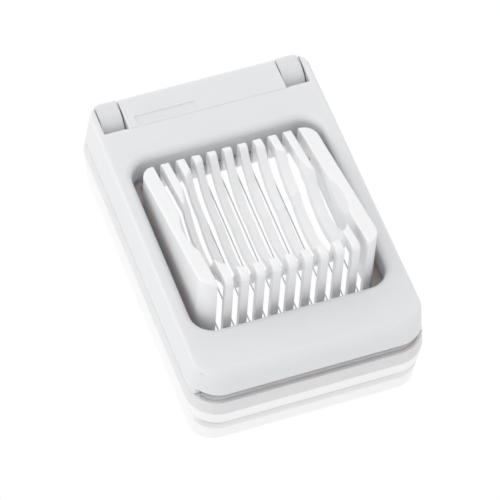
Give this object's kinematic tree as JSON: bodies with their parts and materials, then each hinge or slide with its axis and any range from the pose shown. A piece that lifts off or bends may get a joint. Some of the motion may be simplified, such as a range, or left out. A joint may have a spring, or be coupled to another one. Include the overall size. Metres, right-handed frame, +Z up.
{
  "type": "egg slicer",
  "caption": "Egg slicer: a hinged lid frame strung with taut steel wires that close through a slotted egg cradle on a low white base.",
  "frame": {"origin": "middle of the underside, on the table", "axes": "+X to the right across the width, +Y from the finger groove at the front to the hinges at the back, +Z up"},
  "size_m": [0.085, 0.1244, 0.0373],
  "materials": {
    "base_plastic": "satin white moulded plastic",
    "lid_plastic": "satin white moulded plastic",
    "rail_steel": "rolled stainless strip",
    "stop_steel": "crimped stainless tube",
    "pin_steel": "ground stainless rod",
    "wire_steel": "drawn stainless wire"
  },
  "bodies": {
    "base_body": {"base": "base_plastic"},
    "lid_frame": {"lid": "lid_plastic", "front_wire_rail": "rail_steel", "back_wire_rail": "rail_steel", "front_wire_stops": "stop_steel", "back_wire_stops": "stop_steel", "left_hinge_pin": "pin_steel", "right_hinge_pin": "pin_steel", "slicing_wire_01": "wire_steel", "slicing_wire_02": "wire_steel", "slicing_wire_03": "wire_steel", "slicing_wire_04": "wire_steel", "slicing_wire_05": "wire_steel", "slicing_wire_06": "wire_steel", "slicing_wire_07": "wire_steel", "slicing_wire_08": "wire_steel", "slicing_wire_09": "wire_steel", "slicing_wire_10": "wire_steel"}
  },
  "joints": [
    {"name": "lid_hinge", "type": "hinge", "parent": "base_body", "child": "lid_frame", "pos_m": [0, 0.0562, 0.0118], "axis": [-1, 0, 0], "range_deg": [0, 100]}
  ]
}
